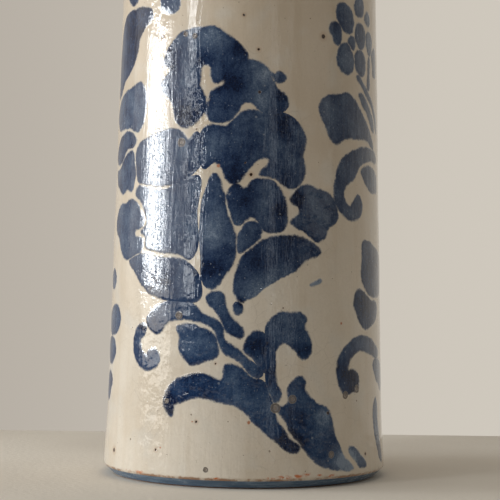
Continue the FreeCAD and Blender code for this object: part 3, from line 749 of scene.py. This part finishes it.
def cobalt_tone(tree, value):
    """The colour of cobalt from a thin wash (0) to a full pool (1)."""
    stops = tree.nodes.new("ShaderNodeValToRGB")
    shades = ((0.0, (0.205, 0.255, 0.33)), (0.30, (0.080, 0.117, 0.185)),
              (0.55, (0.037, 0.063, 0.122)),
              (0.78, (0.012, 0.029, 0.078)), (1.0, (0.002, 0.008, 0.032)))
    stops.color_ramp.interpolation = "LINEAR"
    while len(stops.color_ramp.elements) < len(shades):
        stops.color_ramp.elements.new(0.5)
    for element, (position, shade) in zip(stops.color_ramp.elements, shades):
        element.position = position
        element.color = colour(*shade)
    tree.links.new(value, stops.inputs["Fac"])
    return stops.outputs["Color"]


def centred(tree, value, strength):
    """Noise moved to swing about zero, times strength."""
    return calc(tree, "MULTIPLY", calc(tree, "SUBTRACT", value, 0.5), strength)


def cobalt_tint(tree, where):
    """The wash's colour: dragged and blotchy, bluer near the foot, with pale pinpricks."""
    tone = add(tree, "Attribute", attribute_name="wash").outputs["Fac"]
    bristles = grain(tree, place(tree, (1000.0, 1000.0, 260.0)), 1.3, 3.0, 0.6)
    tone = calc(tree, "ADD", tone, centred(tree, bristles, 0.22))
    tone = calc(tree, "ADD", tone, centred(tree, grain(tree, where, 2.6, 4.0, 0.65), 0.62))
    grit = centred(tree, grain(tree, where, 0.8, 3.0, 0.75), 0.85)
    tint = cobalt_tone(tree, calc(tree, "ADD", tone, grit, clamp=True))
    height = add(tree, "SeparateXYZ", {"Vector": where}).outputs["Z"]
    navy = calc(tree, "MULTIPLY", ramp(tree, height, 110.0, 40.0), 0.38)
    rich = add(tree, "HueSaturation", {"Color": tint, "Saturation": 1.32, "Value": 1.18})
    tint = mix(tree, navy, tint, rich.outputs["Color"])
    pale = calc(tree, "MAXIMUM", specks(tree, where, 1.5, 0.34, 0.45),
                specks(tree, where, 4.0, 0.75, 0.35))
    return mix(tree, calc(tree, "MULTIPLY", pale, 0.42), tint, colour(0.30, 0.33, 0.37))


def cobalt_cover(tree, where, edge):
    """How much the colour hides the white: nothing past its ragged edge, and all within."""
    fray = centred(tree, grain(tree, where, 1.4, 4.0, 0.7), 2.0)
    lumps = centred(tree, grain(tree, where, 5.0, 2.0), 2.2)
    ragged = calc(tree, "ADD", edge, calc(tree, "ADD", fray, lumps))
    bare = ramp(tree, ragged, TRUE_EDGE - 0.75, TRUE_EDGE + 0.65, 1.0, 0.0)
    return calc(tree, "SUBTRACT", 1.0, calc(tree, "MULTIPLY", bare, bare))


def cobalt_material(group):
    """Cobalt in the glaze, with a faint haze round it, the wall's flaws, and brushed streaks."""
    made, tree, shader = new_material("cobalt_brushwork")
    base = tree.nodes.new("ShaderNodeGroup")
    base.node_tree = group
    where = place(tree)
    edge = add(tree, "Attribute", attribute_name="edge").outputs["Fac"]
    cover = cobalt_cover(tree, where, edge)
    haze = ramp(tree, edge, 0.1, TRUE_EDGE + 0.3, 0.0, 0.42)
    around = mix(tree, haze, base.outputs["Color"], colour(0.30, 0.335, 0.37))
    tint = mix(tree, cover, around, cobalt_tint(tree, where))
    # the wall's flaws show through the cobalt, carrying the painted shade of the pinholes and blisters
    flaw = calc(tree, "MULTIPLY", base.outputs["Flaw"], 0.85)
    tree.links.new(mix(tree, flaw, tint, base.outputs["Color"]), shader.inputs["Base Color"])
    glaze_gloss(tree, shader, where)
    streaks = grain(tree, place(tree, (1000.0, 1000.0, 95.0), (7.0, 0.0, 0.0)), 1.5, 2.0, 0.5)
    streaks = calc(tree, "MULTIPLY", calc(tree, "MULTIPLY", streaks, cover), 0.40)
    relief(tree, shader, calc(tree, "ADD", base.outputs["Height"], streaks), GLAZE_RELIEF)
    return made


def band_material():
    """Thin grey-blue colour dragged round on the wheel, with the white showing through."""
    made, tree, shader = new_material("blue_band")
    where = place(tree)
    drag = grain(tree, place(tree, (120.0, 120.0, 1000.0)), 1.4, 4.0, 0.6)
    tint = mix(tree, ramp(tree, drag, 0.35, 0.70), colour(0.072, 0.125, 0.200),
               colour(0.140, 0.210, 0.295))
    worn = ramp(tree, grain(tree, where, 3.0, 5.0, 0.7), 0.60, 0.74, 0.0, 0.6)
    tint = mix(tree, worn, tint, colour(0.42, 0.38, 0.33))
    dirt = ramp(tree, grain(tree, where, 1.2, 4.0, 0.7), 0.60, 0.72, 0.0, 0.55)
    tint = mix(tree, dirt, tint, colour(0.10, 0.07, 0.05))
    tree.links.new(tint, shader.inputs["Base Color"])
    tree.links.new(ramp(tree, drag, 0.3, 0.8, 0.18, 0.36), shader.inputs["Roughness"])
    shader.inputs["IOR"].default_value = 1.50
    relief(tree, shader, calc(tree, "ADD", drag, grain(tree, where, 1.5, 4.0)), BAND_RELIEF)
    return made


def clay_material():
    """Bare red-brown earthenware, gritty and a little dirty."""
    made, tree, shader = new_material("fired_clay")
    where = place(tree)
    tint = mix(tree, ramp(tree, grain(tree, where, 9.0, 4.0), 0.35, 0.70), colour(0.245, 0.115, 0.062),
               colour(0.340, 0.185, 0.105))
    tint = mix(tree, ramp(tree, grain(tree, where, 0.8, 3.0, 0.7), 0.50, 0.72, 0.0, 0.6), tint,
               colour(0.120, 0.060, 0.036))
    tint = mix(tree, calc(tree, "MULTIPLY", specks(tree, where, 1.6, 0.4, 0.35), 0.6), tint,
               colour(0.50, 0.40, 0.29))
    tree.links.new(tint, shader.inputs["Base Color"])
    rough = ramp(tree, grain(tree, where, 2.0, 4.0), 0.3, 0.7, 0.72, 0.92)
    tree.links.new(rough, shader.inputs["Roughness"])
    rings = grain(tree, place(tree, (60.0, 60.0, 1000.0)), 1.2, 3.0)
    relief(tree, shader, calc(tree, "ADD", rings, grain(tree, where, 0.9, 5.0, 0.7)), CLAY_RELIEF)
    return made


def floor_material():
    """A pale, matt painted board."""
    made, tree, shader = new_material("pale_floor")
    where = place(tree)
    tint = mix(tree, ramp(tree, grain(tree, where, 160.0, 3.0), 0.35, 0.70), colour(0.72, 0.67, 0.595),
               colour(0.79, 0.745, 0.67))
    tree.links.new(tint, shader.inputs["Base Color"])
    shader.inputs["Roughness"].default_value = 0.9
    shader.inputs["Specular IOR Level"].default_value = 0.15
    relief(tree, shader, grain(tree, where, 3.0, 4.0), FLOOR_RELIEF)
    return made


# ---------------------------------------------------------------- stage, lights and camera

def make_floor(material):
    """A board under the vase, whose back edge is a hand's breadth behind it."""
    block = bmesh.new()
    bmesh.ops.create_cube(block, size=1.0)
    for vertex in block.verts:
        vertex.co = (vertex.co.x * FLOOR_WIDTH, FLOOR_BACK + (vertex.co.y - 0.5) * FLOOR_DEPTH,
                     (vertex.co.z - 0.5) * FLOOR_THICKNESS)
    bmesh.ops.bevel(block, geom=block.edges[:], offset=FLOOR_ROUND, segments=4, affect="EDGES")
    mesh = bpy.data.meshes.new("floor")
    block.to_mesh(mesh)
    block.free()
    mesh.materials.append(material)
    floor = bpy.data.objects.new("floor", mesh)
    bpy.context.scene.collection.objects.link(floor)


def make_panel(name, spot, target, size, radiance, tint):
    """A soft light panel at spot that faces target. size is its width and height."""
    light = bpy.data.lights.new(name, "AREA")
    light.shape = "RECTANGLE"
    light.size, light.size_y = size
    light.energy = radiance * math.pi * size[0] * size[1]
    light.color = tint
    obj = bpy.data.objects.new(name, light)
    obj.location = spot
    obj.rotation_euler = (Vector(target) - Vector(spot)).to_track_quat("-Z", "Y").to_euler()
    bpy.context.scene.collection.objects.link(obj)


def make_window(name, azimuth, across, low, high, distance, radiance, tint):
    """An upright light panel that faces the vase. azimuth and across are angles seen from the
    vase, from straight in front towards the right; low and high are heights."""
    turn = math.radians(azimuth)
    middle = (low + high) / 2
    spot = (distance * math.sin(turn), -distance * math.cos(turn), middle)
    width = 2 * distance * math.tan(math.radians(across / 2))
    make_panel(name, spot, (0, 0, middle), (width, high - low), radiance, tint)


def make_lights():
    """A window of upright panes on the left, its sill and frame gleams, and soft fill."""
    low, high = WINDOW_HEIGHTS
    for i, (azimuth, across, radiance) in enumerate(WINDOW_PANES):
        make_window(f"pane_{i}", azimuth, across, low, high, WINDOW_DISTANCE, radiance, COLD)
    for light in UPRIGHT_LIGHTS:
        make_window(*light)
    make_panel("ceiling_glow", CEILING_SPOT, CEILING_TARGET, CEILING_SIZE, CEILING_RADIANCE, WARM)


def make_world():
    """A plain room, pale behind the vase, dimmer at the back left and dark on the front side."""
    world = bpy.data.worlds.new("room")
    world.use_nodes = True
    bpy.context.scene.world = world
    tree = world.node_tree
    sky = tree.nodes["Background"]
    away = add(tree, "SeparateXYZ", {"Vector": add(tree, "TexCoord").outputs["Generated"]})
    back = ramp(tree, away.outputs["Y"], -0.5, 0.75)
    tint = mix(tree, back, ROOM_FRONT, ROOM_BACK)
    left = ramp(tree, away.outputs["X"], 0.14, -0.22, 0.0, 0.62)
    tint = mix(tree, calc(tree, "MULTIPLY", left, back), tint, ROOM_BACK_LEFT)
    tree.links.new(tint, sky.inputs["Color"])
    sky.inputs["Strength"].default_value = 1.0


def make_camera():
    """A level view from in front, with the photographer's slight tilt."""
    data = bpy.data.cameras.new("camera")
    data.sensor_width = 36.0
    data.lens = CAMERA_LENS
    data.shift_x, data.shift_y = CAMERA_SHIFT
    camera = bpy.data.objects.new("camera", data)
    turn = Matrix.Rotation(math.radians(90), 4, "X") @ Matrix.Rotation(math.radians(CAMERA_ROLL), 4, "Z")
    camera.matrix_world = Matrix.Translation((0, -CAMERA_DISTANCE, CAMERA_HEIGHT)) @ turn
    bpy.context.scene.collection.objects.link(camera)
    bpy.context.scene.camera = camera


# ---------------------------------------------------------------- the vase

def dress(node, material):
    """A CAD node keeps its shape and takes this material."""
    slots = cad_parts[node].data.materials
    slots.clear()
    slots.append(material)


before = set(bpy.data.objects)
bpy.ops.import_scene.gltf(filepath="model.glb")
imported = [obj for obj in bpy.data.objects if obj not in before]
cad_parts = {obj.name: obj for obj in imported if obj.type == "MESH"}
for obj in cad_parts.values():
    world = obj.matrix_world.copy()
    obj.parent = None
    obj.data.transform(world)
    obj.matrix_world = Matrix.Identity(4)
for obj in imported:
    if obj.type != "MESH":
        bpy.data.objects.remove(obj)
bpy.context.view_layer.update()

glaze_outline = anticlockwise(section("outer_glaze"))
glaze_surface = Surface(anticlockwise(smoothed(glaze_outline, GLAZE_ROW, GLAZE_CORNER)))

tin_glaze = glaze_group()
white = white_material(tin_glaze)
cobalt = cobalt_material(tin_glaze)
band = band_material()

coat = make_glaze(glaze_outline, glaze_surface)
coat.data.materials.append(white)
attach(coat, "root")
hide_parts("outer_glaze")

dress("inner_glaze", white)
dress("clay_body", clay_material())
for ring in ("base_band", "lip_band", "shoulder_rings"):
    dress(ring, band)

ring_nodes = ("outer_glaze", "inner_glaze", "clay_body", "base_band", "lip_band", "shoulder_rings")
for motif_node in sorted(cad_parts):
    if motif_node not in ring_nodes:
        motif = make_motif(motif_node, glaze_surface)
        motif.data.materials.append(cobalt)
        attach(motif, "root")
        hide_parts(motif_node)

make_floor(floor_material())
make_world()
make_lights()
make_camera()
bpy.context.scene.view_settings.view_transform = "Standard"
